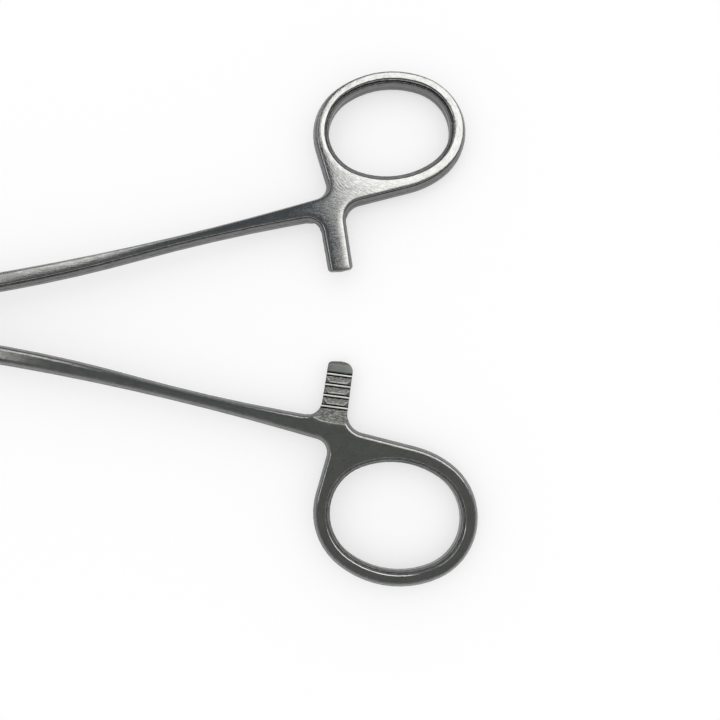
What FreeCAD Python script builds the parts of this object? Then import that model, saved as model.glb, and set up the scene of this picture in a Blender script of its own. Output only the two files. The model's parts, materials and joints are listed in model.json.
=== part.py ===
import FreeCAD, Part
import math
import os

import Sketcher

# Placenta forceps: two crossed forged halves with finger rings, a ratchet, a box lock with a riveted
# pin and fenestrated jaws. Each half is modelled as if the instrument were closed, with the pivot at
# the origin, the rings towards +X, the jaws towards -X and the flat faces square to Z. Its Placement
# then swings it open about the pivot and sets the instrument down on its rings and jaws.

SIZES = [
    # Finger rings
    ("ring_reach", 123.1, "pivot to the middle of a ring, along the instrument"),
    ("ring_offset", 25.9, "middle line to the middle of a finger hole when closed"),
    ("finger_hole_length", 27.45, "finger hole along the instrument"),
    ("finger_hole_width", 22.0, "finger hole across the instrument"),
    ("hole_end_radius", 10.1, "end arcs of the oval finger hole"),
    ("ring_band_end", 3.5, "ring band at both ends of the hole"),
    ("ring_band_outer", 3.3, "ring band on the outer side"),
    ("ring_band_inner", 3.85, "ring band on the side of the ratchet"),
    # Shanks
    ("handle_thickness", 4.6, "rings, ratchet root and shanks"),
    ("bevel_width", 0.85, "side bevel seen from above"),
    ("bevel_depth", 1.7, "side bevel seen from the side"),
    ("crease_radius", 0.4, "rounded upper crease between flat face and bevel"),
    ("root_thickness", 6.1, "shank where it leaves the box"),
    ("root_width", 4.4, "shank where it leaves the box"),
    ("taper_setback", 1.0, "end of the box to where the shank starts to thin"),
    ("taper_length", 18.0, "run in which the shank thins"),
    ("taper_offset", 3.1, "middle line to the shank's centre there"),
    ("taper_width", 4.05, "shank where the taper ends"),
    ("taper_slope", 0.028, "slope of the shank's edges there"),
    ("throat_length", 9.45, "end of the shank's bend to the middle of the ratchet arm"),
    ("throat_offset", 9.25, "middle line to the shank's centre at the throat"),
    ("throat_width", 4.0, "shank at the throat"),
    ("throat_slope", 0.1, "slope of the shank's centre at the throat"),
    ("throat_flare", 0.05, "how much the shank's edges spread there"),
    ("neck_radius", 2.9, "fillet between shank and ring"),
    ("neck_angle", 8.3, "angle below the ring's end where the neck leaves it"),
    ("web_angle", 6.9, "slope of the web between arm and ring"),
    # Ratchet
    ("arm_setback", 15.65, "middle of the ring to the middle of the ratchet arm"),
    ("arm_width", 5.9, "ratchet arm at its root"),
    ("arm_tip_width", 5.45, "ratchet arm at its tip"),
    ("arm_overlap", 4.7, "how far an arm reaches past the middle line"),
    ("arm_trim", 2.5, "forged arm that is ground off past its tip"),
    ("tip_crown", 0.3, "how far the middle of the tip stands out"),
    ("tip_near_radius", 0.9, "corner of the tip on the side of the shank"),
    ("upper_tip_radius", 1.0, "other corner of the upper arm's tip"),
    ("lower_tip_radius", 2.1, "other corner of the lower arm's tip"),
    ("arm_root_radius", 3.2, "fillet between shank and arm"),
    ("web_radius", 4.0, "fillet between arm and ring"),
    ("crest_clearance", 0.24, "between the facing crests of the two arms"),
    ("crest_count", 4, "crests on each arm"),
    ("first_crest", 5.07, "middle line to the crest next to the shank"),
    ("tooth_pitch", 2.33, "crest to crest"),
    ("tooth_land", 0.32, "flat top of a crest"),
    ("tooth_flank", 0.11, "run of a crest's steep flank, seen from the side"),
    ("tooth_depth", 0.55, "crest to the low end of a ramp"),
    ("notch_width", 0.42, "notch between a crest and the ramp's lip"),
    ("notch_depth", 0.42, "crest to the floor of the notch"),
    ("lip_drop", 0.14, "crest to the lip of a ramp"),
    ("facet_width", 0.9, "cut corners at both ends of a ramp"),
    ("relief_end", 8.55, "middle line to the end of the milled relief"),
    ("relief_width", 12.0, "milled relief along the instrument"),
    ("relief_curve", 10.3, "curved end of the relief on the side of the shank"),
    ("relief_corner", 1.1, "corner of the relief on the side of the ring"),
    ("relief_overrun", 0.3, "arm to the relief's edge on the side of the ring"),
    # Box lock
    ("box_width", 9.6, "box across the instrument"),
    ("box_thickness", 6.6, "box from face to face"),
    ("box_reach", 11.0, "pivot to both ends of the box"),
    ("box_bevel", 0.5, "long edges of the box"),
    ("cheek_radius", 9.4, "rounded ends of the cheeks"),
    ("shoulder_clearance", 0.3, "cheek ends to the shoulders of the tongue half"),
    ("slot_radius", 5.3, "rounded ends of the slot"),
    ("rim_clearance", 0.3, "rim of the tongue to the ends of the slot"),
    ("tongue_thickness", 2.7, "tongue that fills the slot"),
    ("slot_clearance", 0.05, "tongue to each cheek"),
    ("half_gap", 0.1, "between the two halves along the middle line when closed"),
    ("pin_diameter", 3.2, "body of the pivot pin"),
    ("rivet_diameter", 4.2, "spread ends of the pivot pin"),
    ("rivet_depth", 0.6, "countersinks in which the pin is spread"),
    ("pin_clearance", 0.04, "running clearance of the tongue on the pin"),
    # Jaws
    ("jaw_reach", 106.0, "pivot to the tip of the jaws"),
    ("jaw_root_width", 4.4, "jaw shank where it leaves the box"),
    ("jaw_height", 5.8, "jaw shank seen from the side"),
    ("jaw_bow", 0.5, "hollow between the closed jaw shanks, on each side"),
    ("bow_setback", 7.0, "end of the jaw loop to where the hollow starts"),
    ("loop_length", 33.0, "jaw loop along the instrument"),
    ("loop_height", 19.0, "jaw loop from edge to edge"),
    ("loop_end_radius", 8.2, "end arcs of the jaw loop"),
    ("loop_rim", 4.0, "rim around the window"),
    ("loop_thickness", 3.2, "jaw loop from gripping face to back"),
    ("loop_tip_thickness", 2.2, "jaw loop at its tip"),
    ("loop_bevel", 0.7, "bevelled back edges of the jaw"),
    ("loop_neck_radius", 14.0, "fillets between jaw shank and loop"),
    ("serration_pitch", 2.0, "grooves on the gripping rim"),
    ("serration_width", 1.2, "mouth of a groove"),
    ("serration_depth", 0.5, "grooves on the gripping rim"),
    ("serration_margin", 1.6, "plain rim at both ends of the loop"),
    # Pose
    ("opening", 15.7, "angle between the halves as the instrument lies"),
]

# Below this turn, in radians, a run between two points is a straight line
STRAIGHT_TURN = 1e-4
# Two lengths in millimetres that differ by less are the same
SAME_LENGTH = 1e-3


def make_sheet(doc):
    """Spreadsheet with one named cell for each driving dimension, in millimetres and degrees."""
    sheet = doc.addObject("Spreadsheet::Sheet", "Sizes")
    for row, (alias, value, note) in enumerate(SIZES, start=1):
        sheet.set("A%d" % row, note)
        sheet.set("B%d" % row, str(value))
        sheet.setAlias("B%d" % row, alias)
    doc.recompute()
    return sheet


def new_body(doc, name):
    body = doc.addObject("PartDesign::Body", name)
    body.Label = name
    return body


def new_sketch(body, name, role, offset=0.0):
    """Sketch on one of the body's own origin planes, moved along that plane's normal."""
    plane = [item for item in body.Origin.OriginFeatures if item.Role == role][0]
    sketch = body.newObject("Sketcher::SketchObject", name)
    sketch.AttachmentSupport = (plane, [""])
    sketch.MapMode = "FlatFace"
    sketch.AttachmentOffset = FreeCAD.Placement(FreeCAD.Vector(0, 0, offset), FreeCAD.Rotation())
    return sketch


def bind(feature, **expressions):
    """Tie a feature's properties to cells of the sheet."""
    for name, expression in expressions.items():
        feature.setExpression(name, expression)


def point(x, y):
    return FreeCAD.Vector(x, y, 0)


def tangent_arc(start, direction, end):
    """Arc from start to end that leaves start along a direction, or a line where it is straight."""
    chord = end - start
    turn = math.atan2(direction.x * chord.y - direction.y * chord.x, direction.dot(chord))
    if abs(turn) < STRAIGHT_TURN:
        return Part.LineSegment(start, end)
    normal = point(-chord.y, chord.x)
    middle = start + chord / 2 - normal * (math.tan(turn / 2) / 2)
    return Part.Arc(start, middle, end)


def smooth_pair(start, start_slope, end, end_slope):
    """Two arcs that meet smoothly and leave both ends at the slopes given."""
    leave = point(1, start_slope).normalize()
    arrive = point(1, end_slope).normalize()
    chord = end - start
    both = leave + arrive
    bend = 2 * (1 - leave.dot(arrive))
    along = chord.dot(both)
    reach = chord.dot(chord) / (along + math.sqrt(along ** 2 + bend * chord.dot(chord)))
    joint = (start + leave * reach + end - arrive * reach) / 2
    return [tangent_arc(start, leave, joint), reversed_arc(tangent_arc(end, -arrive, joint))]


def reversed_arc(curve):
    """The same run from its far end."""
    if isinstance(curve, Part.LineSegment):
        return Part.LineSegment(curve.EndPoint, curve.StartPoint)
    middle = curve.value((curve.FirstParameter + curve.LastParameter) / 2)
    return Part.Arc(curve.EndPoint, middle, curve.StartPoint)


def corner_arc(before, corner, after, radius):
    """Arc that rounds the corner between two straight runs."""
    to_before = (before - corner).normalize()
    to_after = (after - corner).normalize()
    half_angle = to_before.getAngle(to_after) / 2
    bisector = (to_before + to_after).normalize()
    setback = radius / math.tan(half_angle)
    middle = corner + bisector * (radius / math.sin(half_angle) - radius)
    return Part.Arc(corner + to_before * setback, middle, corner + to_after * setback)


def meet(first, first_direction, second, second_direction):
    """Point where two lines in the plan meet."""
    across = first_direction.x * second_direction.y - first_direction.y * second_direction.x
    offset = second - first
    run = (offset.x * second_direction.y - offset.y * second_direction.x) / across
    return first + first_direction * run


class Oval:
    """Four-centre oval: two end arcs and two flatter side arcs that meet them smoothly."""

    def __init__(self, centre, half_length, half_width, end_radius):
        self.centre = centre
        self.end_radius = end_radius
        end_shift = half_length - end_radius
        self.side_radius = (end_shift ** 2 + half_width ** 2 - end_radius ** 2) / (
            2 * (half_width - end_radius)
        )
        self.end_shift = end_shift
        self.side_shift = self.side_radius - half_width
        self.joint_angle = math.degrees(math.atan2(self.side_shift, end_shift))

    def on_arc(self, which, angle):
        """Point of the arc named right, top, left or bottom, its angle counted from +X."""
        shift = {
            "right": point(self.end_shift, 0),
            "left": point(-self.end_shift, 0),
            "top": point(0, -self.side_shift),
            "bottom": point(0, self.side_shift),
        }[which]
        radius = self.end_radius if which in ("right", "left") else self.side_radius
        turn = math.radians(angle)
        return self.centre + shift + point(math.cos(turn), math.sin(turn)) * radius

    def run(self, which, start, end):
        middle = self.on_arc(which, (start + end) / 2)
        return Part.Arc(self.on_arc(which, start), middle, self.on_arc(which, end))

    def closed(self):
        joint = self.joint_angle
        return [
            self.run("right", -joint, joint),
            self.run("top", joint, 180 - joint),
            self.run("left", 180 - joint, 180 + joint),
            self.run("bottom", 180 + joint, 360 - joint),
        ]


def finger_hole(sizes):
    centre = point(sizes.ring_reach, sizes.ring_offset)
    length = sizes.finger_hole_length
    return Oval(centre, length / 2, sizes.finger_hole_width / 2, sizes.hole_end_radius)


def ring_outside(sizes):
    shift = (sizes.ring_band_outer - sizes.ring_band_inner) / 2
    half_width = (sizes.finger_hole_width + sizes.ring_band_outer + sizes.ring_band_inner) / 2
    half_length = sizes.finger_hole_length / 2 + sizes.ring_band_end
    end_radius = sizes.hole_end_radius + sizes.ring_band_end
    return Oval(point(sizes.ring_reach, sizes.ring_offset + shift), half_length, half_width, end_radius)


def arm_right(sizes):
    return sizes.ring_reach - sizes.arm_setback + sizes.arm_width / 2


def arm_edge(sizes):
    """Root of the arm's slanting edge on the side of the shank, and the same edge's end at the tip."""
    root = point(arm_right(sizes) - sizes.arm_width, sizes.throat_offset)
    return root, point(arm_right(sizes) - sizes.arm_tip_width, -sizes.arm_overlap)


def taper_start(sizes):
    return sizes.box_reach + sizes.taper_setback


def taper_end(sizes):
    return taper_start(sizes) + sizes.taper_length


def lap(sizes):
    """Pivot to where shanks and jaws end inside the solid ends of the box."""
    return (sizes.cheek_radius + sizes.shoulder_clearance + sizes.box_reach) / 2


def shank_edge(sizes, which):
    """Inner (-1) or outer (+1) edge of the shank, from inside the box to the throat, and its last slope."""
    root_offset = (sizes.half_gap / 2 + sizes.box_width / 2) / 2
    throat = sizes.ring_reach - sizes.arm_setback - sizes.throat_length
    inside_box = point(lap(sizes), root_offset + which * sizes.root_width / 2)
    start = point(sizes.box_reach, inside_box.y)
    middle = point(taper_end(sizes), sizes.taper_offset + which * sizes.taper_width / 2)
    end = point(throat, sizes.throat_offset + which * sizes.throat_width / 2)
    end_slope = sizes.throat_slope + which * sizes.throat_flare
    taper = smooth_pair(start, 0, middle, sizes.taper_slope)
    bend = smooth_pair(middle, sizes.taper_slope, end, end_slope)
    return [Part.LineSegment(inside_box, start)] + taper + bend, end_slope


def handle_plan(sizes):
    """Plan of shank, ratchet arm and ring as one closed run of lines and arcs, ring on +Y."""
    ring = ring_outside(sizes)
    inner, inner_slope = shank_edge(sizes, -1)
    outer, outer_slope = shank_edge(sizes, 1)
    inner_end = inner[-1].EndPoint
    outer_end = outer[-1].EndPoint

    # The web below the finger hole and the neck beside it leave the ring along its tangents
    web_turn = math.radians(sizes.web_angle)
    neck_turn = math.radians(sizes.neck_angle)
    web_ring = ring.on_arc("bottom", 270 + sizes.web_angle)
    web_direction = point(math.cos(web_turn), math.sin(web_turn))
    neck_ring = ring.on_arc("left", 180 + sizes.neck_angle)
    neck_direction = point(math.sin(neck_turn), -math.cos(neck_turn))
    neck_corner = meet(outer_end, point(1, outer_slope), neck_ring, neck_direction)

    # The arm crosses the middle line, narrows a little and runs on past its tip
    edge_root, edge_tip = arm_edge(sizes)
    blank_radius = sizes.arm_tip_width / 4
    web_corner = meet(web_ring, web_direction, point(arm_right(sizes), 0), point(0, -1))
    root_corner = meet(inner_end, point(1, inner_slope), edge_root, edge_tip - edge_root)
    tip_right = point(arm_right(sizes), -sizes.arm_overlap - sizes.arm_trim)
    tip_left = meet(tip_right, point(-1, 0), edge_root, edge_tip - edge_root)
    root_arc = corner_arc(inner_end, root_corner, tip_left, sizes.arm_root_radius)
    left_arc = corner_arc(root_corner, tip_left, tip_right, blank_radius)
    right_arc = corner_arc(tip_left, tip_right, web_corner, blank_radius)
    web_arc = corner_arc(tip_right, web_corner, web_ring, sizes.web_radius)
    neck_arc = corner_arc(neck_ring, neck_corner, outer_end, sizes.neck_radius)

    joint = ring.joint_angle
    return inner + [
        Part.LineSegment(inner_end, root_arc.StartPoint),
        root_arc,
        Part.LineSegment(root_arc.EndPoint, left_arc.StartPoint),
        left_arc,
        Part.LineSegment(left_arc.EndPoint, right_arc.StartPoint),
        right_arc,
        Part.LineSegment(right_arc.EndPoint, web_arc.StartPoint),
        web_arc,
        Part.LineSegment(web_arc.EndPoint, web_ring),
        ring.run("bottom", 270 + sizes.web_angle, 360 - joint),
        ring.run("right", -joint, joint),
        ring.run("top", joint, 180 - joint),
        ring.run("left", 180 - joint, 180 + sizes.neck_angle),
        Part.LineSegment(neck_ring, neck_arc.StartPoint),
        neck_arc,
        Part.LineSegment(neck_arc.EndPoint, outer_end),
    ] + [reversed_arc(run) for run in reversed(outer)] + [
        Part.LineSegment(outer[0].StartPoint, inner[0].StartPoint),
    ]


def mirrored(curve, side):
    """The same run for the half whose ring lies on +Y (side 1) or -Y (side -1)."""
    flip = FreeCAD.Matrix(1, 0, 0, 0, 0, side, 0, 0, 0, 0, 1, 0, 0, 0, 0, 1)
    ends = [flip.multVec(curve.StartPoint), flip.multVec(curve.EndPoint)]
    if isinstance(curve, Part.LineSegment):
        return Part.LineSegment(*ends)
    middle = flip.multVec(curve.value((curve.FirstParameter + curve.LastParameter) / 2))
    return Part.Arc(ends[0], middle, ends[1])


def lines(corners):
    """Closed run of straight lines."""
    return [Part.LineSegment(start, end) for start, end in zip(corners, corners[1:] + corners[:1])]


def add_pad(body, name, sketch, length, both_ways=True, reverse=False):
    """Pad whose length is an expression of the sheet, on both sides of its sketch or on one."""
    pad = body.newObject("PartDesign::Pad", name)
    pad.Profile = sketch
    pad.Midplane = both_ways
    pad.Reversed = reverse
    pad.Refine = False
    bind(pad, Length=length)
    body.Document.recompute()
    return pad


def add_pocket(body, name, sketch, length, both_ways=True, reverse=False):
    """Pocket whose depth is an expression of the sheet. It has to remove something."""
    before = len(body.Shape.Faces)
    pocket = body.newObject("PartDesign::Pocket", name)
    pocket.Refine = False
    pocket.Profile = sketch
    pocket.Midplane = both_ways
    pocket.Reversed = reverse
    bind(pocket, Length=length)
    body.Document.recompute()
    if len(pocket.Shape.Faces) == before:
        raise RuntimeError(name + " cuts nothing")
    return pocket


def add_row(body, name, originals, axis, spacing, count, reverse=False):
    """Linear pattern of pockets along one of the sketch's own axes."""
    row = body.newObject("PartDesign::LinearPattern", name)
    row.Originals = originals
    row.Direction = (originals[0].Profile[0], [axis])
    row.Reversed = reverse
    row.Mode = "Spacing"
    row.Refine = False
    bind(row, Offset=spacing, Occurrences=count)
    body.Tip = row
    body.Document.recompute()
    return row


def rim_edges(shape, axis, keep):
    """Names of the edges around the faces that look mostly along an axis and that a test keeps."""
    flat = []
    for face in shape.Faces:
        middle = face.Surface.parameter(face.CenterOfMass)
        if abs(face.normalAt(*middle).dot(axis)) > 0.9 and keep(face.BoundBox):
            flat.extend(face.Edges)
    names = []
    for index, edge in enumerate(shape.Edges, start=1):
        uses = sum(1 for item in flat if item.isSame(edge))
        if uses == 1 and keep(edge.BoundBox):
            names.append("Edge%d" % index)
    return names


def add_handle(body, sizes, side):
    """Forged shank, arm and ring: a plate that thins behind the box, with bevelled long edges."""
    plan = new_sketch(body, "HandlePlan", "XY_Plane")
    plan.addGeometry([mirrored(run, side) for run in handle_plan(sizes)], False)
    plan.addGeometry([mirrored(run, side) for run in finger_hole(sizes).closed()], False)
    add_pad(body, "HandlePlate", plan, "Sizes.root_thickness")

    root = sizes.root_thickness / 2
    thin = sizes.handle_thickness / 2
    start = point(taper_start(sizes), root)
    end = point(taper_end(sizes), thin)
    beyond = sizes.ring_reach + sizes.finger_hole_length
    profile = smooth_pair(start, 0, end, 0) + [
        Part.LineSegment(end, point(beyond, thin)),
        Part.LineSegment(point(beyond, thin), point(beyond, 2 * root)),
        Part.LineSegment(point(beyond, 2 * root), point(start.x, 2 * root)),
        Part.LineSegment(point(start.x, 2 * root), start),
    ]
    thinning = new_sketch(body, "HandleProfile", "XZ_Plane")
    thinning.addGeometry(profile, False)
    thinning.addGeometry([mirrored(run, -1) for run in profile], False)
    plate = add_pocket(body, "HandleThinning", thinning, "4 * Sizes.ring_offset")

    def is_handle(box):
        return box.XMax > sizes.box_reach + SAME_LENGTH

    def is_upper(box):
        return is_handle(box) and box.ZMin > 0

    up = FreeCAD.Vector(0, 0, 1)
    bevel = body.newObject("PartDesign::Chamfer", "HandleBevel")
    bevel.Base = (plate, rim_edges(plate.Shape, up, is_handle))
    bevel.ChamferType = "Two distances"
    bevel.Refine = False
    bind(bevel, Size="Sizes.bevel_depth", Size2="Sizes.bevel_width")
    body.Document.recompute()
    crease = body.newObject("PartDesign::Fillet", "HandleCrease")
    crease.Base = (bevel, rim_edges(bevel.Shape, up, is_upper))
    crease.Refine = False
    bind(crease, Radius="Sizes.crease_radius")
    body.Document.recompute()


def grind_tip(body, sizes, side, far_radius):
    """The arm is ground off square in a crowned end, so its side bevels run right out to the tip."""
    root, near = arm_edge(sizes)
    far = point(arm_right(sizes), near.y)
    crown = (near + far) / 2 - point(0, sizes.tip_crown)
    near_arc = corner_arc(root, near, crown, sizes.tip_near_radius)
    crown_arc = corner_arc(near, crown, far, sizes.arm_tip_width / 2)
    far_arc = corner_arc(crown, far, point(far.x, root.y), far_radius)
    margin = point(sizes.arm_trim, 0)
    beyond = point(0, -2 * sizes.arm_trim)
    corners = [
        far_arc.EndPoint,
        far_arc.EndPoint + margin,
        far + margin + beyond,
        near - margin + beyond,
        near_arc.StartPoint - margin,
        near_arc.StartPoint,
    ]
    outline = lines(corners)[:-1] + [
        near_arc,
        Part.LineSegment(near_arc.EndPoint, crown_arc.StartPoint),
        crown_arc,
        Part.LineSegment(crown_arc.EndPoint, far_arc.StartPoint),
        far_arc,
    ]
    tip = new_sketch(body, "TipPlan", "XY_Plane")
    tip.addGeometry([mirrored(run, side) for run in outline], False)
    add_pocket(body, "GroundTip", tip, "2 * Sizes.root_thickness")


def jaw_plan(sizes):
    """Side view of jaw shank and loop as one closed run of lines and arcs."""
    loop = jaw_loop(sizes, 0)
    half = sizes.jaw_height / 2
    radius = sizes.loop_neck_radius
    end_centre = loop.centre + point(loop.end_shift, 0)
    rise = half + radius
    run = math.sqrt((loop.end_radius + radius) ** 2 - rise ** 2)
    angle = math.degrees(math.atan2(rise, run))
    fillet_centre = end_centre + point(run, rise)
    leave = loop.on_arc("right", angle)
    middle_angle = math.radians((angle + 180 + 270) / 2)
    middle = fillet_centre + point(math.cos(middle_angle), math.sin(middle_angle)) * radius
    upper_fillet = Part.Arc(point(fillet_centre.x, half), middle, leave)
    root = -lap(sizes)
    joint = loop.joint_angle
    upper = [Part.LineSegment(point(root, half), upper_fillet.StartPoint), upper_fillet]
    lower = [mirrored(run, -1) for run in upper]
    return upper + [
        loop.run("right", angle, joint),
        loop.run("top", joint, 180 - joint),
        loop.run("left", 180 - joint, 180 + joint),
        loop.run("bottom", 180 + joint, 360 - joint),
        loop.run("right", -joint, -angle),
    ] + [reversed_arc(run) for run in reversed(lower)] + [
        Part.LineSegment(point(root, -half), point(root, half)),
    ]


def jaw_loop(sizes, inset):
    """Oval of the jaw loop or, with an inset, of its window."""
    centre = point(-sizes.jaw_reach + sizes.loop_length / 2, 0)
    half_length = sizes.loop_length / 2 - inset
    return Oval(centre, half_length, sizes.loop_height / 2 - inset, sizes.loop_end_radius - inset)


def add_jaw(body, sizes, side):
    """Jaw shank and fenestrated loop: the side view as a plate, then its back, bow and serrations."""
    plan = new_sketch(body, "JawSideView", "XZ_Plane", side * sizes.half_gap / 2)
    plan.addGeometry(jaw_plan(sizes), False)
    plan.addGeometry(jaw_loop(sizes, sizes.loop_rim).closed(), False)
    add_pad(body, "JawPlate", plan, "Sizes.jaw_root_width", both_ways=False, reverse=side < 0)

    # Across the instrument, the back falls from the box to the loop and on to the tip
    gap = sizes.half_gap / 2
    loop_end = point(-sizes.jaw_reach + sizes.loop_length, -gap - sizes.loop_thickness)
    tip = point(-sizes.jaw_reach, -gap - sizes.loop_tip_thickness)
    root = point(-sizes.box_reach, -gap - sizes.jaw_root_width)
    below = point(0, -sizes.box_width)
    back_shank = smooth_pair(loop_end, 0, root, 0)
    back_loop = tangent_arc(loop_end, point(-1, 0), tip)
    beyond = tip - point(sizes.loop_rim, 0)
    profile = [reversed_arc(run) for run in reversed(back_shank)] + [
        back_loop,
        Part.LineSegment(tip, beyond),
        Part.LineSegment(beyond, beyond + below),
        Part.LineSegment(beyond + below, root + below),
        Part.LineSegment(root + below, root),
    ]
    back = new_sketch(body, "JawBackProfile", "XY_Plane")
    back.addGeometry([mirrored(run, side) for run in profile], False)
    add_pocket(body, "JawBack", back, "2 * Sizes.loop_height")

    # The shanks bow a little apart, so that only the loops touch
    neck_end = point(-sizes.jaw_reach + sizes.loop_length + sizes.bow_setback, -gap)
    bow_start = point(-sizes.box_reach, -gap)
    bow_middle = (neck_end + bow_start) / 2 - point(0, sizes.jaw_bow)
    bow = new_sketch(body, "JawBowProfile", "XY_Plane")
    bow_run = [
        Part.Arc(neck_end, bow_middle, bow_start),
        Part.LineSegment(bow_start, bow_start + point(0, sizes.box_width)),
        Part.LineSegment(bow_start + point(0, sizes.box_width), neck_end + point(0, sizes.box_width)),
        Part.LineSegment(neck_end + point(0, sizes.box_width), neck_end),
    ]
    bow.addGeometry([mirrored(run, side) for run in bow_run], False)
    add_pocket(body, "JawBow", bow, "2 * Sizes.loop_height")
    add_serrations(body, sizes, side)


def bevel_jaw_back(body, sizes):
    """Bevelled edges all round the back of jaw shank, loop and window."""
    gap = sizes.half_gap / 2

    def is_back(box):
        behind_face = min(abs(box.YMin), abs(box.YMax)) > gap + sizes.serration_depth + SAME_LENGTH
        return behind_face and box.XMin < -sizes.box_reach - SAME_LENGTH

    base = body.Tip
    bevel = body.newObject("PartDesign::Chamfer", "JawBevel")
    bevel.Base = (base, rim_edges(base.Shape, FreeCAD.Vector(0, 1, 0), is_back))
    bind(bevel, Size="Sizes.loop_bevel")
    bevel.Refine = False
    body.Document.recompute()


def add_serrations(body, sizes, side):
    """Cross grooves on the gripping face, repeated along the rim."""
    gap = sizes.half_gap / 2
    half_mouth = sizes.serration_width / 2
    first = -sizes.jaw_reach + sizes.serration_margin + half_mouth
    corners = [
        point(first - half_mouth, -gap),
        point(first, -gap - sizes.serration_depth),
        point(first + half_mouth, -gap),
        point(first + half_mouth, gap),
        point(first - half_mouth, gap),
    ]
    groove = new_sketch(body, "SerrationProfile", "XY_Plane")
    groove.addGeometry([mirrored(run, side) for run in lines(corners)], False)
    cut = add_pocket(body, "Serration", groove, "2 * Sizes.loop_height")
    count = "floor((Sizes.loop_length - 2 * Sizes.serration_margin) / Sizes.serration_pitch)"
    add_row(body, "Serrations", [cut], "H_Axis", "Sizes.serration_pitch", count)


def add_block(body, sizes, side, radius, name):
    """Middle of the lock: two bars that join shank and jaw to a round that spans the instrument."""
    gap = sizes.half_gap / 2
    half = sizes.box_width / 2
    reach = sizes.box_reach
    wide = math.sqrt(radius ** 2 - half ** 2)
    narrow = math.sqrt(radius ** 2 - gap ** 2)
    turn = math.radians(180) - math.asin((half - gap) / 2 / radius)
    middle = point(radius * math.cos(turn), radius * math.sin(turn))
    upper_end = point(-wide, half)
    upper = [
        Part.LineSegment(point(narrow, gap), point(reach, gap)),
        Part.LineSegment(point(reach, gap), point(reach, half)),
        Part.LineSegment(point(reach, half), upper_end),
        Part.Arc(upper_end, middle, point(-narrow, -gap)),
    ]
    turned = FreeCAD.Matrix(-1, 0, 0, 0, 0, -1, 0, 0, 0, 0, 1, 0, 0, 0, 0, 1)
    lower = [item.copy() for item in upper]
    for item in lower:
        item.transform(turned)
    plan = new_sketch(body, name + "Plan", "XY_Plane")
    plan.addGeometry([mirrored(run, side) for run in upper + lower], False)
    block = add_pad(body, name, plan, "Sizes.box_thickness")

    def long_side(edge_box):
        """An edge that runs along the instrument where a flat face meets a side."""
        on_side = abs(abs(edge_box.YMin) - half) < SAME_LENGTH and edge_box.YLength < SAME_LENGTH
        level = abs(abs(edge_box.ZMin) - sizes.box_thickness / 2) < SAME_LENGTH
        return on_side and level and edge_box.ZLength < SAME_LENGTH

    edges = ["Edge%d" % index for index, edge in enumerate(block.Shape.Edges, start=1)
             if long_side(edge.BoundBox)]
    bevel = body.newObject("PartDesign::Chamfer", name + "Bevel")
    bevel.Base = (block, edges)
    bind(bevel, Size="Sizes.box_bevel")
    bevel.Refine = False
    body.Document.recompute()


def add_slot(body, sizes, side):
    """Slot right through the box, rounded where it meets the webs that join the two cheeks."""
    gap = sizes.half_gap / 2
    radius = sizes.slot_radius
    far = sizes.box_reach
    narrow = math.sqrt(radius ** 2 - gap ** 2)
    diagonal = radius * math.sqrt(0.5)
    upper = [
        Part.LineSegment(point(far, gap), point(narrow, gap)),
        Part.Arc(point(narrow, gap), point(diagonal, diagonal), point(0, radius)),
        Part.LineSegment(point(0, radius), point(0, far)),
        Part.LineSegment(point(0, far), point(-far, far)),
        Part.LineSegment(point(-far, far), point(-far, -gap)),
    ]
    turned = FreeCAD.Matrix(-1, 0, 0, 0, 0, -1, 0, 0, 0, 0, 1, 0, 0, 0, 0, 1)
    lower = [item.copy() for item in upper]
    for item in lower:
        item.transform(turned)
    plan = new_sketch(body, "SlotPlan", "XY_Plane")
    plan.addGeometry([mirrored(run, side) for run in upper + lower], False)
    add_pocket(body, "Slot", plan, "Sizes.tongue_thickness + 2 * Sizes.slot_clearance")


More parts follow.
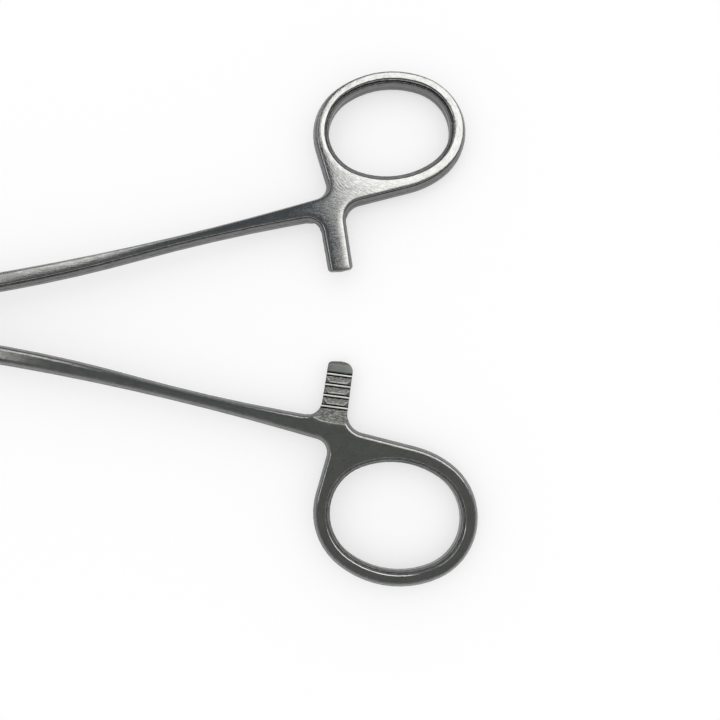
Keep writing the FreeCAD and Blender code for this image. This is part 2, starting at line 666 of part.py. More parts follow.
def add_ratchet(body, sizes, side, level):
    """Half of the arm's thickness is milled away and the rest gets its crests."""
    crest = sizes.crest_clearance / 2
    land = sizes.tooth_land / 2
    floor = crest + sizes.tooth_depth
    outer_face = -sizes.handle_thickness / 2
    steep = sizes.tooth_flank
    arm_middle = arm_right(sizes) - sizes.arm_width / 2
    width = "Sizes.relief_width"

    def profile_sketch(name, corners):
        """Corners joined across the arm, for the side that the ring is on and the level of the arm."""
        sketch = new_sketch(body, name, "YZ_Plane", arm_middle)
        placed = [point(side * corner.x, level * corner.y) for corner in corners]
        sketch.addGeometry(lines(placed), False)
        return sketch

    # The cutter leaves a curved edge where the relief ends on the shank
    foot = sizes.first_crest + land + steep
    half_width = sizes.relief_width / 2
    radius = sizes.relief_curve
    round_corner = sizes.relief_corner
    right = arm_right(sizes) + sizes.relief_overrun
    curve_end = point(arm_middle, sizes.relief_end)
    curve_start = curve_end + point(-half_width, math.sqrt(radius ** 2 - half_width ** 2) - radius)
    corner = point(right, sizes.relief_end)
    corner_run = corner_arc(curve_end, corner, point(right, foot), round_corner)
    floor_plan = [
        reversed_arc(tangent_arc(curve_end, point(-1, 0), curve_start)),
        Part.LineSegment(curve_end, corner_run.StartPoint),
        corner_run,
        Part.LineSegment(corner_run.EndPoint, point(right, foot)),
        Part.LineSegment(point(right, foot), point(curve_start.x, foot)),
        Part.LineSegment(point(curve_start.x, foot), curve_start),
    ]
    plan = new_sketch(body, "ReliefPlan", "XY_Plane", level * floor)
    plan.addGeometry([mirrored(run, side) for run in floor_plan], False)
    add_pocket(body, "ReliefFloor", plan, "Sizes.handle_thickness", both_ways=False, reverse=level < 0)

    # The rest of the arm is milled away down to the crests
    past_tip = -2 * sizes.arm_overlap
    corners = [
        point(foot, 2 * outer_face),
        point(past_tip, 2 * outer_face),
        point(past_tip, crest),
        point(sizes.first_crest + land, crest),
        point(foot, floor),
    ]
    add_pocket(body, "ArmRelief", profile_sketch("ReliefProfile", corners), width)

    # Between two crests a ramp rises to a lip and a notch
    notch_side = sizes.first_crest - land
    lip = notch_side - sizes.notch_width
    low = sizes.first_crest - sizes.tooth_pitch + land
    corners = [
        point(notch_side, outer_face),
        point(notch_side, crest + sizes.notch_depth),
        point(lip, crest + sizes.notch_depth),
        point(lip, crest + sizes.lip_drop),
        point(low + steep, floor),
        point(low, crest),
        point(low, outer_face),
    ]
    gap_cut = add_pocket(body, "ToothGap", profile_sketch("ToothGapProfile", corners), width)
    add_row(body, "ToothGaps", [gap_cut], "H_Axis", "Sizes.tooth_pitch", "Sizes.crest_count - 1", side > 0)

    # Last ramp, which is the plain tip of the arm
    last = sizes.first_crest - (sizes.crest_count - 1) * sizes.tooth_pitch
    tip_notch = last - land
    corners = [
        point(tip_notch, outer_face),
        point(tip_notch, crest + sizes.notch_depth),
        point(tip_notch - sizes.notch_width, crest + sizes.notch_depth),
        point(tip_notch - sizes.notch_width, crest + sizes.lip_drop),
        point(-sizes.arm_overlap, floor),
        point(past_tip, floor),
        point(past_tip, outer_face),
    ]
    add_pocket(body, "TipRamp", profile_sketch("TipRampProfile", corners), width)

    # Corners cut off at both ends of each ramp
    facets = new_sketch(body, "RampCornerPlan", "XY_Plane", level * (crest - sizes.crest_clearance))
    outside = sizes.relief_width
    for end, inward in ((arm_middle - sizes.arm_tip_width / 2, 1), (arm_right(sizes), -1)):
        corners = [
            point(end + inward * sizes.facet_width, lip),
            point(end, low + steep),
            point(end - inward * outside, low + steep),
            point(end - inward * outside, lip),
        ]
        facets.addGeometry([mirrored(run, side) for run in lines(corners)], False)
    depth = "Sizes.tooth_depth + Sizes.crest_clearance"
    repeats = "Sizes.crest_count - 1"
    facet_cut = add_pocket(body, "RampCorner", facets, depth, both_ways=False, reverse=level > 0)
    add_row(body, "RampCorners", [facet_cut], "V_Axis", "Sizes.tooth_pitch", repeats, side > 0)


def add_round_pocket(body, name, size_kind, size, depth, height=0.0, both_ways=True, reverse=False):
    """Round pocket about the pivot, its radius or diameter an expression of the sheet."""
    plan = new_sketch(body, name + "Plan", "XY_Plane", height)
    plan.addGeometry(Part.Circle(point(0, 0), FreeCAD.Vector(0, 0, 1), 1), False)
    number = plan.addConstraint(Sketcher.Constraint(size_kind, 0, 1))
    plan.renameConstraint(number, "size")
    plan.addConstraint(Sketcher.Constraint("Coincident", 0, 3, -1, 1))
    plan.setExpression("Constraints.size", size)
    add_pocket(body, name, plan, depth, both_ways, reverse)


def join_handle(body, sizes, side, level, tip_radius):
    """The handle is shaped by itself, ring on +Y (side 1) or -Y, and becomes one with the lock."""
    handle = new_body(body.Document, body.Name + "_handle")
    add_handle(handle, sizes, side)
    grind_tip(handle, sizes, side, tip_radius)
    add_ratchet(handle, sizes, side, level)
    union = body.newObject("PartDesign::Boolean", "Handle")
    union.setObjects([handle])
    union.Type = "Fuse"
    body.Document.recompute()


def make_box_half(doc, sizes):
    """Upper ratchet arm and ring on +Y. Its box takes the tongue and holds the pin."""
    body = new_body(doc, "box_half")
    add_block(body, sizes, 1, sizes.cheek_radius, "Box")
    add_slot(body, sizes, 1)
    add_round_pocket(body, "PinHole", "Diameter", "Sizes.pin_diameter", "2 * Sizes.box_thickness")
    face = sizes.box_thickness / 2
    wide = "Sizes.rivet_diameter"
    depth = "Sizes.rivet_depth"
    for level, name in ((1, "UpperCountersink"), (-1, "LowerCountersink")):
        add_round_pocket(body, name, "Diameter", wide, depth, level * face, False, level < 0)
    add_jaw(body, sizes, 1)
    bevel_jaw_back(body, sizes)
    join_handle(body, sizes, 1, 1, sizes.upper_tip_radius)
    return body


def make_tongue_half(doc, sizes):
    """Lower ratchet arm and ring on -Y. Its tongue passes through the slot of the box."""
    body = new_body(doc, "tongue_half")
    add_block(body, sizes, -1, sizes.slot_radius - sizes.rim_clearance, "Tongue")
    face = sizes.box_thickness / 2
    depth = "(Sizes.box_thickness - Sizes.tongue_thickness) / 2"
    shoulder = "Sizes.cheek_radius + Sizes.shoulder_clearance"
    for level, name in ((1, "UpperTongueFace"), (-1, "LowerTongueFace")):
        add_round_pocket(body, name, "Radius", shoulder, depth, level * face, False, level < 0)
    bore = "Sizes.pin_diameter + 2 * Sizes.pin_clearance"
    add_round_pocket(body, "PinBore", "Diameter", bore, "2 * Sizes.box_thickness")
    add_jaw(body, sizes, -1)
    bevel_jaw_back(body, sizes)
    join_handle(body, sizes, -1, -1, sizes.lower_tip_radius)
    return body


def make_pivot_pin(doc, sizes):
    """Pin that is spread into the countersinks of both cheeks, flush with the box."""
    body = new_body(doc, "pivot_pin")
    half = sizes.box_thickness / 2
    neck = half - sizes.rivet_depth
    corners = [
        point(0, -half),
        point(sizes.rivet_diameter / 2, -half),
        point(sizes.rivet_diameter / 2, -neck),
        point(sizes.pin_diameter / 2, -neck),
        point(sizes.pin_diameter / 2, neck),
        point(sizes.rivet_diameter / 2, neck),
        point(sizes.rivet_diameter / 2, half),
        point(0, half),
    ]
    profile = new_sketch(body, "PinProfile", "XZ_Plane")
    profile.addGeometry(lines(corners), False)
    turned = body.newObject("PartDesign::Revolution", "Pin")
    turned.Profile = profile
    turned.ReferenceAxis = (profile, ["V_Axis"])
    turned.Angle = 360
    doc.recompute()
    return body


def lay_down(bodies, sizes):
    """Open the halves evenly and rest the instrument on its ring ends and the edges of its jaw loops."""
    box_half, tongue_half, pivot_pin = bodies
    ring = ring_outside(sizes)
    ring_end = ring.centre.x + ring.end_shift + ring.end_radius - sizes.bevel_width
    loop_middle = -sizes.jaw_reach + sizes.loop_length / 2
    drop = (sizes.loop_height - sizes.handle_thickness) / 2
    tilt = math.degrees(math.asin(drop / math.hypot(ring_end - loop_middle, drop)))
    rest = FreeCAD.Rotation(FreeCAD.Vector(0, 1, 0), tilt)
    for body, swing in ((box_half, 0.5), (tongue_half, -0.5), (pivot_pin, 0.5)):
        turn = FreeCAD.Rotation(FreeCAD.Vector(0, 0, 1), swing * sizes.opening)
        body.Placement = FreeCAD.Placement(FreeCAD.Vector(), rest * turn)
    whole = FreeCAD.BoundBox()
    for body in bodies:
        whole.add(body.Shape.optimalBoundingBox(False))
    shift = FreeCAD.Vector(-whole.Center.x, -whole.Center.y, -whole.ZMin)
    for body in bodies:
        body.Placement = FreeCAD.Placement(shift, body.Placement.Rotation)


def main():
    os.makedirs("parts", exist_ok=True)
    doc = FreeCAD.newDocument("PlacentaForceps")
    sizes = make_sheet(doc)
    bodies = [make_box_half(doc, sizes), make_tongue_half(doc, sizes), make_pivot_pin(doc, sizes)]
    lay_down(bodies, sizes)
    doc.recompute()
    for item in doc.Objects:
        if "Invalid" in item.State or "Error" in item.State:
            raise RuntimeError(item.Name + " did not build")
    for body in bodies:
        if body.Shape.isNull() or not body.Shape.isValid():
            raise RuntimeError(body.Label + " is not a valid solid")
    for body in bodies:
        body.Shape.exportStep("parts/%s.step" % body.Label)


main()
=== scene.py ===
"""Placenta forceps: satin steel on the forged halves and the pin, and the studio around them."""

import json
import logging
import math
from dataclasses import dataclass, field
from enum import Enum

import bpy
from mathutils import Matrix, Vector

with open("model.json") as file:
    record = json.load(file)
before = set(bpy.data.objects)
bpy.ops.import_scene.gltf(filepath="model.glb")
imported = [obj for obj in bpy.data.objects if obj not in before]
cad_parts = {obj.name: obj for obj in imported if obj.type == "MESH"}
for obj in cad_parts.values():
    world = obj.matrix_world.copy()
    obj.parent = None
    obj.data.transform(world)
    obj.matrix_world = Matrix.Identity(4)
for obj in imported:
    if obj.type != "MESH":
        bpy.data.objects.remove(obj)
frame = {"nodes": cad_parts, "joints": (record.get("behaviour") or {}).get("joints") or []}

logging.basicConfig(level=logging.INFO, format="%(message)s")
LOG = logging.getLogger("forceps")

MILLIMETRE = 0.001
# Makes share * (1 - share) reach 1 in the middle
ARCH = 4.0
# Middle level of a noise pattern
NOISE_MIDDLE = 0.5
# Least height of a direction, which keeps its slopes finite
LEAST_HEIGHT = 0.01

Socket = bpy.types.NodeSocket
Pair = tuple[float, float]
Triple = tuple[float, float, float]


class Side(Enum):
    """Which half a finish is for, as the sign of Y on which its ring lies."""

    BOX = 1
    TONGUE = -1


class Kind(Enum):
    """What the values of a mix are, by its name in the Mix node."""

    NUMBER = "FLOAT"
    VECTOR = "VECTOR"
    COLOUR = "RGBA"


class Graph:
    """A node tree with short calls to add and join nodes."""

    def __init__(self, tree: bpy.types.NodeTree) -> None:
        """Keep the tree and empty it.

        Args:
            tree: Node tree of a material, world or group.
        """
        self.tree = tree
        tree.nodes.clear()

    def add(self, kind: str, settings: dict | None = None, **inputs: object) -> bpy.types.Node:
        """Add a node.

        Args:
            kind: Blender's name of the node type.
            settings: Properties to set on the node itself.
            **inputs: Sockets by name with underscores for spaces, each a value or an output to join.

        Returns:
            The new node.
        """
        node = self.tree.nodes.new(kind)
        for name, value in (settings or {}).items():
            setattr(node, name, value)
        for name, value in inputs.items():
            self.feed(node.inputs[name.replace("_", " ")], value)
        return node

    def feed(self, socket: Socket, value: object) -> None:
        """Join an output to a socket, or set the socket's own value.

        Args:
            socket: Input of a node.
            value: Output to join, or the value to set.
        """
        if isinstance(value, Socket):
            self.tree.links.new(value, socket)
        else:
            socket.default_value = value

    def math(self, operation: str, *values: object, clamp: bool = False) -> Socket:
        """Result of a Math node.

        Args:
            operation: Blender's name of the operation.
            *values: One to three numbers or outputs.
            clamp: Whether the result is kept between 0 and 1.

        Returns:
            The node's output.
        """
        node = self.add("ShaderNodeMath", {"operation": operation, "use_clamp": clamp})
        for socket, value in zip(node.inputs, values):
            self.feed(socket, value)
        return node.outputs[0]

    def vector(self, operation: str, *values: object, output: str = "Vector") -> Socket:
        """Result of a Vector Math node.

        Args:
            operation: Blender's name of the operation.
            *values: One or two vectors or outputs.
            output: Name of the output, which is Value where the result is a number.

        Returns:
            The node's output.
        """
        node = self.add("ShaderNodeVectorMath", {"operation": operation})
        for socket, value in zip(node.inputs, values):
            self.feed(socket, value)
        return node.outputs[output]

    def parts(self, vector: Socket) -> tuple[Socket, ...]:
        """The X, Y and Z of a vector."""
        return tuple(self.add("ShaderNodeSeparateXYZ", Vector=vector).outputs)

    def joined(self, **parts: object) -> Socket:
        """Vector made of its X, Y and Z."""
        return self.add("ShaderNodeCombineXYZ", **parts).outputs[0]

    def polar(self, x: Socket, y: Socket) -> tuple[Socket, Socket]:
        """Distance and direction of a point in a plane.

        Args:
            x: First coordinate.
            y: Second coordinate.

        Returns:
            Its distance from the origin and its angle in radians.
        """
        distance = self.vector("LENGTH", self.joined(X=x, Y=y), output="Value")
        return distance, self.math("ARCTAN2", y, x)

    def ramp(self, value: object, low: float, high: float, start: float = 0.0, end: float = 1.0) -> Socket:
        """Smooth step of a value from one level to another.

        Args:
            value: Number or output that drives the step.
            low: Value at which the step starts.
            high: Value at which it ends.
            start: Level below the step.
            end: Level above the step.

        Returns:
            The node's output.
        """
        node = self.add("ShaderNodeMapRange", {"interpolation_type": "SMOOTHSTEP"}, Value=value)
        for name, level in (("From Min", low), ("From Max", high), ("To Min", start), ("To Max", end)):
            node.inputs[name].default_value = level
        return node.outputs["Result"]

    def mix(self, kind: Kind, factor: object, first: object, second: object) -> Socket:
        """Mix of two values.

        Args:
            kind: What the values are.
            factor: Share of the second one.
            first: Value or output at a share of 0.
            second: Value or output at a share of 1.

        Returns:
            The node's output.
        """
        node = self.add("ShaderNodeMix", {"data_type": kind.value})
        for name, value in (("Factor", factor), ("A", first), ("B", second)):
            self.feed(node.inputs[name], value)
        return node.outputs["Result"]

    def blend(self, factor: object, first: object, second: object) -> Socket:
        """Mix of two colours."""
        return self.mix(Kind.COLOUR, factor, first, second)

    def between(self, factor: object, first: object, second: object) -> Socket:
        """Mix of two numbers."""
        return self.mix(Kind.NUMBER, factor, first, second)

    def bump(self, height: Socket, depth: float, below: Socket | None = None) -> Socket:
        """Normals of a raised surface.

        Args:
            height: Output with the height, where 1 stands for the full depth.
            depth: Full depth, in metres.
            below: Normals of the surface below it, if they aren't the mesh's own.

        Returns:
            The normals.
        """
        node = self.add("ShaderNodeBump", Height=height)
        node.inputs["Distance"].default_value = depth
        if below is not None:
            self.feed(node.inputs["Normal"], below)
        return node.outputs[0]

    def metal(self, **inputs: object) -> None:
        """Finish the material of a bare metal.

        Args:
            **inputs: Sockets of its shader by name, as in add.
        """
        shader = self.add("ShaderNodeBsdfPrincipled", **inputs)
        shader.inputs["Metallic"].default_value = 1.0
        self.add("ShaderNodeOutputMaterial", Surface=shader.outputs[0])

    def rays(self) -> tuple[Socket, Socket]:
        """Tell apart what is seen from what is mirrored.

        Returns:
            The mask of the camera's rays and the mask of mirrored or transmitted rays.
        """
        path = self.add("ShaderNodeLightPath").outputs
        mirrored = self.math("ADD", path["Is Glossy Ray"], path["Is Transmission Ray"], clamp=True)
        return path["Is Camera Ray"], mirrored


@dataclass(frozen=True)
class Instrument:
    """Where the closed instrument's own axes lie in the frame, read from its joint.

    Attributes:
        pivot: Point on the axis of the lock, in metres.
        tilt: Angle by which the instrument leans about Y, in radians.
        opening: Angle between the halves at rest, in radians.
    """

    pivot: Vector
    tilt: float
    opening: float

    @classmethod
    def from_joint(cls, joint: dict) -> "Instrument":
        """Read the place of the lock from the record's joint.

        Args:
            joint: Entry of the frame's list of joints.

        Returns:
            The instrument's place.
        """
        axis = Vector(joint["axis"])
        tilt = math.atan2(-axis.x, -axis.z)
        return cls(Vector(joint["pos_m"]), tilt, math.radians(-joint["range_deg"][0]))

    def swing(self, side: Side) -> float:
        """Angle by which a half is swung out of the closed instrument at rest, in radians."""
        return side.value * self.opening / 2

    def turn(self, swing: float = 0.0) -> Matrix:
        """Rotation from the instrument's axes, or a swung half's, to the frame."""
        return Matrix.Rotation(self.tilt, 3, "Y") @ Matrix.Rotation(swing, 3, "Z")

    def place(self, x: float, y: float, z: float) -> Vector:
        """Point given along the instrument's axes, in millimetres, as a point of the frame."""
        return self.pivot + self.turn() @ (Vector((x, y, z)) * MILLIMETRE)

    def coordinates(self, graph: Graph, swing: float = 0.0) -> Socket:
        """Coordinates along the instrument's axes, or a swung half's.

        Args:
            graph: Graph of the material.
            swing: Angle by which the half is swung, in radians.

        Returns:
            Output with the place that is shaded, in millimetres from the pivot.
        """
        spot = graph.add("ShaderNodeTexCoord").outputs["Object"]
        mapping = graph.add("ShaderNodeMapping", {"vector_type": "TEXTURE"}, Vector=spot)
        mapping.inputs["Location"].default_value = self.pivot
        mapping.inputs["Rotation"].default_value = self.turn(swing).to_euler("XYZ")
        mapping.inputs["Scale"].default_value = (MILLIMETRE,) * 3
        return mapping.outputs[0]


@dataclass(frozen=True)
class Spot:
    """Outputs with the place that is shaded along a half's own axes, in millimetres from the pivot.

    Attributes:
        side: Half that the place is on.
        own: All three coordinates as a vector.
        x: Along the half, towards its ring.
        y: Across the half.
        z: Up from its middle plane.
        across: Across the half, towards its ring.
        level: Distance from its middle plane.
    """

    side: Side
    own: Socket
    x: Socket
    y: Socket
    z: Socket
    across: Socket
    level: Socket

    @classmethod
    def on_half(cls, graph: Graph, instrument: Instrument, side: Side) -> "Spot":
        """Find the place that is shaded on a half.

        Args:
            graph: Graph of the half's material.
            instrument: Where the instrument's axes lie.
            side: Which half it is.

        Returns:
            The place.
        """
        own = instrument.coordinates(graph, instrument.swing(side))
        x, y, z = graph.parts(own)
        across = graph.math("MULTIPLY", y, float(side.value))
        return cls(side, own, x, y, z, across, graph.math("ABSOLUTE", z))


def new_group(
    name: str, inputs: dict[str, str], outputs: dict[str, str]
) -> tuple[bpy.types.NodeTree, Graph, bpy.types.Node, bpy.types.Node]:
    """Start a shader node group with named sockets.

    Args:
        name: Name of the group.
        inputs: Kind of each input socket by name.
        outputs: Kind of each output socket by name.

    Returns:
        The group, its graph, its input node and its output node.
    """
    group = bpy.data.node_groups.new(name, "ShaderNodeTree")
    graph = Graph(group)
    for label, kind in inputs.items():
        group.interface.new_socket(label, in_out="INPUT", socket_type=kind)
    for label, kind in outputs.items():
        group.interface.new_socket(label, in_out="OUTPUT", socket_type=kind)
    return group, graph, graph.add("NodeGroupInput"), graph.add("NodeGroupOutput")


@dataclass(frozen=True)
class Noise:
    """A noise pattern.

    Attributes:
        fineness: Number of lumps in a millimetre along, across and through.
        detail: Number of finer layers.
        roughness: Strength of the finer layers.
    """

    fineness: Triple
    detail: float
    roughness: float = 0.5

    def place(self, graph: Graph, run: Socket, seed: Socket | None = None) -> Socket:
        """Put the pattern into a tree.

        Args:
            graph: Graph of the tree.
            run: Way along, across and through, in millimetres.
            seed: Number that sets one pattern of this kind apart from another, if there are more.

        Returns:
            The pattern's level.
        """
        stretched = graph.add("ShaderNodeMapping", Vector=run)
        stretched.inputs["Scale"].default_value = self.fineness
        noise = graph.add("ShaderNodeTexNoise", Vector=stretched.outputs[0])
        if seed is not None:
            noise.noise_dimensions = "4D"
            graph.feed(noise.inputs["W"], seed)
        for name, value in (("Scale", 1.0), ("Detail", self.detail), ("Roughness", self.roughness)):
            noise.inputs[name].default_value = value
        return noise.outputs["Fac"]


@dataclass
class SharedEffects:
    """Effects that every steel uses, each a node group that is built once.

    Attributes:
        streak: Noise of the brush streaks.
        streak_layers: How much finer each layer of streaks is, and its share of the height.
        streak_levels: Heights between which a streak starts to show.
        waves: Noise of the waves that polishing leaves.
        patches: Noise of the cloudy patches.
        patch_levels: Its levels between which a patch starts to show.
        torn: Noise of the milled surface.
        speckle_levels: Its levels between which a speckle starts to show.
        groups: The node groups by name.
    """

    streak: Noise = Noise((0.6, 3.4, 3.4), 2.0)
    streak_layers: tuple[Pair, ...] = ((1.0, 0.6), (2.6, 0.4))
    streak_levels: Pair = (0.42, 0.6)
    waves: Noise = Noise((0.07, 0.32, 0.32), 1.0)
    patches: Noise = Noise((0.35, 0.35, 0.35), 4.0)
    patch_levels: Pair = (0.4, 0.62)
    torn: Noise = Noise((1.7, 5.0, 2.0), 3.0, 0.65)
    speckle_levels: Pair = (0.46, 0.62)
    groups: dict[str, bpy.types.NodeTree] = field(default_factory=dict)

    def __post_init__(self) -> None:
        """Build all the groups."""
        self.groups["grain"] = self.build_grain()
        self.groups["polish"] = self.build_polish()
        self.groups["milled"] = self.build_milled()

    def build_grain(self) -> bpy.types.NodeTree:
        """Fine brush streaks along one direction, as a height and a mask.

        Returns:
            The group. Its Run input holds the way along, across and through, in millimetres.
        """
        group, graph, given, result = new_group(
            "brushed_grain",
            {"Run": "NodeSocketVector", "Seed": "NodeSocketFloat"},
            {"Height": "NodeSocketFloat", "Streaks": "NodeSocketFloat"},
        )
        height = 0.0
        for finer, share in self.streak_layers:
            fineness = tuple(finer * number for number in self.streak.fineness)
            layer = Noise(fineness, self.streak.detail)
            level = layer.place(graph, given.outputs["Run"], given.outputs["Seed"])
            height = graph.math("MULTIPLY_ADD", level, share, height)
        graph.feed(result.inputs["Height"], height)
        graph.feed(result.inputs["Streaks"], graph.ramp(height, *self.streak_levels))
        return group

    def build_polish(self) -> bpy.types.NodeTree:
        """Low waves and cloudy patches that hand polishing leaves.

        Returns:
            The group, with the height of the waves and a mask of the patches.
        """
        group, graph, given, result = new_group(
            "hand_polish",
            {"Run": "NodeSocketVector"},
            {"Height": "NodeSocketFloat", "Patches": "NodeSocketFloat"},
        )
        patches = self.patches.place(graph, given.outputs["Run"])
        graph.feed(result.inputs["Height"], self.waves.place(graph, given.outputs["Run"]))
        graph.feed(result.inputs["Patches"], graph.ramp(patches, *self.patch_levels))
        return group

    def build_milled(self) -> bpy.types.NodeTree:
        """Coarse torn surface of the milled ratchet, as a height and a speckle mask.

        Returns:
            The group.
        """
        group, graph, given, result = new_group(
            "milled_surface",
            {"Run": "NodeSocketVector"},
            {"Height": "NodeSocketFloat", "Speckle": "NodeSocketFloat"},
        )
        torn = self.torn.place(graph, given.outputs["Run"])
        graph.feed(result.inputs["Height"], torn)
        graph.feed(result.inputs["Speckle"], graph.ramp(torn, *self.speckle_levels))
        return group

    def place(self, graph: Graph, name: str, **inputs: object) -> bpy.types.Node:
        """Put one of the groups into a material.

        Args:
            graph: Graph of the material.
            name: Key of the group.
            **inputs: Values or outputs for the group's sockets.

        Returns:
            The group node.
        """
        return graph.add("ShaderNodeGroup", {"node_tree": self.groups[name]}, **inputs)


@dataclass(frozen=True)
class SatinSteel:
    """Brushed and hand-polished stainless steel of a forged half.

    Attributes:
        name: Name of the material.
        colour: Colour of the bare metal, linear.
        worn_colour: Colour of cloudy patches and streaks, linear.
        roughness: Roughness of the polished faces between the streaks.
        streak_roughness: What a streak adds to it.
        milled_colour: Colour of the torn ratchet floor, linear.
        milled_light: Colour of the torn edges on it, linear.
        tooth_shade_colour: Colour of the painted shade in the notches, on the end facets and at the foot of
            each crest's steep flank, linear.
        tip_colour: Colour of the smooth tip of the arm, linear.
        crest_highlight_colour: Colour of the painted highlight on the crests and on the bright lines of the
            ramps, linear.
        streak_share: How far the brush streaks take the worn colour.
        cloud_share: How far the cloudy patches take it.
        milled_roughness: Roughness of the ratchet floor.
        grain_depth: Depth of the brush streaks, in metres.
        wave_depth: Depth of the polishing waves, in metres.
        milled_depth: Depth of the torn ratchet floor, in metres.
        edge_radius: Radius by which polishing has softened the edges, in metres.
        edge_samples: Number of rays that find the edges near a place.
        crown_radius: Distance from an edge over which the flats fall off, in metres.
        crown_share: How strongly they fall off.
        bevel_bulge: How far the middle of a side bevel stands out, in millimetres.
        tip_tilt: Slope by which the ramp at the ratchet's tip is levelled.
        ring_centre: Middle of the finger hole in the half's own axes, in millimetres.
        ring_radius: Radius at which round strokes are as long as straight ones, in millimetres.
        straight_run: Distances from the hole's middle between which strokes turn straight, in millimetres.
        taper: Start and end of the run in which the shank thins, in millimetres.
        root_half: Half the thickness where the shank leaves the box, in millimetres.
        handle_half: Half the thickness of the handle, in millimetres.
        bevel_depth: Side bevel seen from the side, in millimetres.
        hole_zone: Half the length and width of the zone round the finger hole, in millimetres.
        zone_border: Squared share of its reach between which the zone fades.
        hole_turns: How the surface rolls over into the hole, as start and end of each turn in
            millimetres below the flat face and its angle in radians.
        hole_crown: How far the flat face leans towards the hole before it, in radians.
        crown_run: Squared share of the zone's reach between which that lean fades.
        tip_start: Middle line to where the tip of the arm starts, in millimetres.
        crests: Middle line to the first crest, crest to crest and half a crest's width, in millimetres.
        ratchet_low: Lowest corner of the milled zone in the half's own axes, in millimetres.
        ratchet_high: Highest corner of the milled zone, in millimetres.
        level_faces: Upward share of the normal between which a face counts as floor or ramp.
        arm_middle: Middle of the arm along the half, in millimetres.
        facet_reach: Arm's middle to the ends' slanted facets where they meet a crest, in millimetres.
        facet_slant: How far a facet comes inwards for each millimetre from the crest.
        facet_start: Crest to where the facets start, in millimetres.
        facet_inside: Facet's edge to where its painted shade starts, in millimetres.
        facet_shade: How dark the painted shade on a slanted end facet is.
        facet_highlight_reach: Facet's edge to where the painted highlight along it starts to fade and where
            it ends, in millimetres.
        highlight_share: How strongly the painted highlights along the lips and facet edges show.
        lip: Crest to the painted highlight along a ramp's lip, start and end, in millimetres.
        lip_end: How far the lip's painted highlight runs past a facet's edge, in millimetres.
        notch: Crest to the painted shade in the notch behind the lip, start and end, in millimetres.
        foot: Crest to the painted shade at the foot of its steep flank, start and end, in millimetres.
        soft_border: How far a strip's border fades outside and inside it, in millimetres.
        wobble: How uneven the torn surface makes the painted highlights and the edges of the shaded facets,
            in millimetres.
    """

    name: str
    colour: Triple = (0.26, 0.262, 0.26)
    worn_colour: Triple = (0.20, 0.202, 0.20)
    roughness: float = 0.07
    streak_roughness: float = 0.07
    milled_colour: Triple = (0.15, 0.155, 0.148)
    milled_light: Triple = (0.42, 0.42, 0.39)
    tooth_shade_colour: Triple = (0.02, 0.022, 0.02)
    tip_colour: Triple = (0.16, 0.168, 0.16)
    crest_highlight_colour: Triple = (0.72, 0.72, 0.70)
    streak_share: float = 0.7
    cloud_share: float = 0.3
    milled_roughness: float = 0.42
    grain_depth: float = 1.4e-5
    wave_depth: float = 3e-5
    milled_depth: float = 1.6e-4
    edge_radius: float = 2.2e-4
    edge_samples: int = 8
    crown_radius: float = 2.2e-3
    crown_share: float = 0.1
    bevel_bulge: float = 0.3
    tip_tilt: float = 0.13
    ring_centre: Pair = (123.1, 25.9)
    ring_radius: float = 20.5
    straight_run: Pair = (17.5, 21.5)
    taper: Pair = (12.0, 30.0)
    root_half: float = 3.05
    handle_half: float = 2.3
    bevel_depth: float = 1.7
    hole_zone: Pair = (15.8, 13.1)
    zone_border: Pair = (0.96, 1.02)
    hole_turns: tuple[Triple, ...] = ((0.26, 0.5, 0.66), (0.42, 0.95, 0.44), (0.85, 1.7, 0.46))
    hole_crown: float = 0.1
    crown_run: Pair = (0.85, 1.0)
    tip_start: float = 2.5
    crests: Triple = (5.07, 2.33, 0.17)
    ratchet_low: Triple = (102.4, -5.2, -1.2)
    ratchet_high: Triple = (110.8, 8.7, 1.2)
    level_faces: Pair = (0.55, 0.7)
    arm_middle: float = 107.6
    facet_reach: float = 3.32
    facet_slant: float = 0.93
    facet_start: float = 0.75
    facet_inside: float = 0.1
    facet_shade: float = 0.45
    facet_highlight_reach: Pair = (0.05, 0.13)
    highlight_share: float = 0.75
    lip: Pair = (1.56, 1.76)
    lip_end: float = 0.08
    notch: Pair = (1.82, 2.12)
    foot: Pair = (0.2, 0.42)
    soft_border: Pair = (0.06, 0.04)
    wobble: float = 0.5

    def make(self, effects: SharedEffects, instrument: Instrument, side: Side) -> bpy.types.Material:
        """Build the material for one half.

        Args:
            effects: The shared node groups.
            instrument: Where the instrument's axes lie.
            side: Which half is dressed.

        Returns:
            The material.
        """
        material = bpy.data.materials.new(self.name)
        material.use_nodes = True
        graph = Graph(material.node_tree)
        spot = Spot.on_half(graph, instrument, side)
        stroke_height, streaks = self.brushing(graph, effects, spot)
        polish = effects.place(graph, "polish", Run=spot.own).outputs
        milled = effects.place(graph, "milled", Run=spot.own).outputs
        zone = self.milled_zone(graph, spot)
        before_tip = graph.math("GREATER_THAN", spot.across, -self.tip_start)
        crest = self.crest_mask(graph, spot, before_tip)

        streaked = graph.math("MULTIPLY", streaks, self.streak_share)
        clouded = graph.math("MULTIPLY", polish["Patches"], self.cloud_share)
        wear = graph.math("ADD", streaked, clouded, clamp=True)
        steel = graph.blend(wear, (*self.colour, 1.0), (*self.worn_colour, 1.0))
        ratchet = self.ratchet_colour(graph, spot, milled, crest)
        ratchet = graph.blend(before_tip, (*self.tip_colour, 1.0), ratchet)
        polished = graph.math("MULTIPLY_ADD", streaks, self.streak_roughness, self.roughness)

